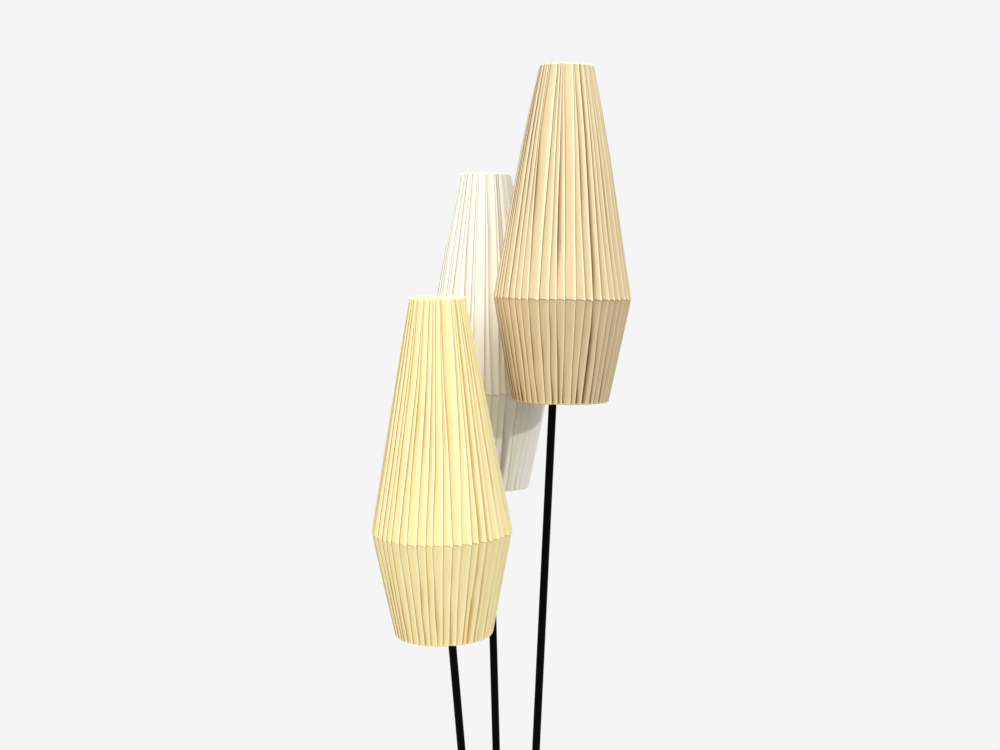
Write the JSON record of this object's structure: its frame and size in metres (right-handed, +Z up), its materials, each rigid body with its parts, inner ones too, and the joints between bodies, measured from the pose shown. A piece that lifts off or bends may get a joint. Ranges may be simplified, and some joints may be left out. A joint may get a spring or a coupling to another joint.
{
  "type": "tree floor lamp",
  "caption": "Floor lamp with pleated bicone shades on bent tubes that rise from one round weighted base.",
  "frame": {"origin": "centre of the base's underside, on the floor", "axes": "+Z up; -Y is the side the lamp is seen from"},
  "size_m": [0.3832, 0.4186, 1.6021],
  "materials": {
    "black_paint": "satin powder coat",
    "beige_fabric": "gathered cloth",
    "white_fabric": "gathered cloth",
    "yellow_fabric": "gathered cloth",
    "shade_lining": "matt film",
    "frame_paint": "white enamel",
    "holder_plastic": "moulded",
    "insert_plastic": "glazed steatite",
    "contact_brass": "plain",
    "bulb_glass": "frosted",
    "bulb_cap_metal": "rolled",
    "flex_sheath": "sheath",
    "felt": "felt",
    "cast_iron": "as cast",
    "steel": "zinc plated",
    "terminal_plastic": "moulded",
    "black_rubber": "moulded"
  },
  "bodies": {
    "stand": {"felt_pad": "felt", "base_weight": "cast_iron", "base_cover": "black_paint", "stem_hub": "black_paint", "grub_screws": "steel", "centre_bolt": "steel", "bolt_washer": "steel", "terminal_blocks": "terminal_plastic", "cord_inlet": "black_rubber", "holder_caps": "holder_plastic", "holder_shells": "holder_plastic", "holder_inserts": "insert_plastic", "contact_sleeves": "contact_brass", "centre_contacts": "contact_brass", "shade_rings": "holder_plastic", "bulb_caps": "bulb_cap_metal", "bulb_globes": "bulb_glass", "stem_tall": "black_paint", "flex_tall": "flex_sheath", "stem_middle": "black_paint", "flex_middle": "flex_sheath", "stem_low": "black_paint", "flex_low": "flex_sheath"},
    "shade_tall": {"shade_carrier_tall": "frame_paint", "shade_frame_tall": "frame_paint", "shade_liner_tall": "shade_lining", "upper_fabric_tall": "beige_fabric", "lower_fabric_tall": "beige_fabric", "edge_bindings_tall": "beige_fabric"},
    "switch_tall": {"switch_knob_tall": "holder_plastic"},
    "shade_middle": {"shade_carrier_middle": "frame_paint", "shade_frame_middle": "frame_paint", "shade_liner_middle": "shade_lining", "upper_fabric_middle": "white_fabric", "lower_fabric_middle": "white_fabric", "edge_bindings_middle": "white_fabric"},
    "switch_middle": {"switch_knob_middle": "holder_plastic"},
    "shade_low": {"shade_carrier_low": "frame_paint", "shade_frame_low": "frame_paint", "shade_liner_low": "shade_lining", "upper_fabric_low": "yellow_fabric", "lower_fabric_low": "yellow_fabric", "edge_bindings_low": "yellow_fabric"},
    "switch_low": {"switch_knob_low": "holder_plastic"}
  },
  "joints": [
    {"name": "shade_turn_tall", "type": "hinge", "parent": "stand", "child": "shade_tall", "pos_m": [0.0852, -0.03, 1.2596], "axis": [0.0161, 0.0061, 0.9999], "continuous": true},
    {"name": "switch_turn_tall", "type": "hinge", "parent": "stand", "child": "switch_tall", "pos_m": [0.10543, -0.03522, 1.28751], "axis": [0.9647, -0.2629, -0.0139], "continuous": true},
    {"name": "shade_turn_middle", "type": "hinge", "parent": "stand", "child": "shade_middle", "pos_m": [-0.033, 0.1128, 1.1081], "axis": [0.0072, 0.0274, 0.9996], "continuous": true},
    {"name": "switch_turn_middle", "type": "hinge", "parent": "stand", "child": "switch_middle", "pos_m": [-0.04014, 0.13271, 1.13582], "axis": [-0.3581, 0.9334, -0.023], "continuous": true},
    {"name": "shade_turn_low", "type": "hinge", "parent": "stand", "child": "shade_low", "pos_m": [-0.0922, -0.1, 0.9223], "axis": [-0.0157, -0.037, 0.9992], "continuous": true},
    {"name": "switch_turn_low", "type": "hinge", "parent": "stand", "child": "switch_low", "pos_m": [-0.10542, -0.11706, 0.94968], "axis": [-0.6231, -0.7812, -0.0387], "continuous": true}
  ]
}
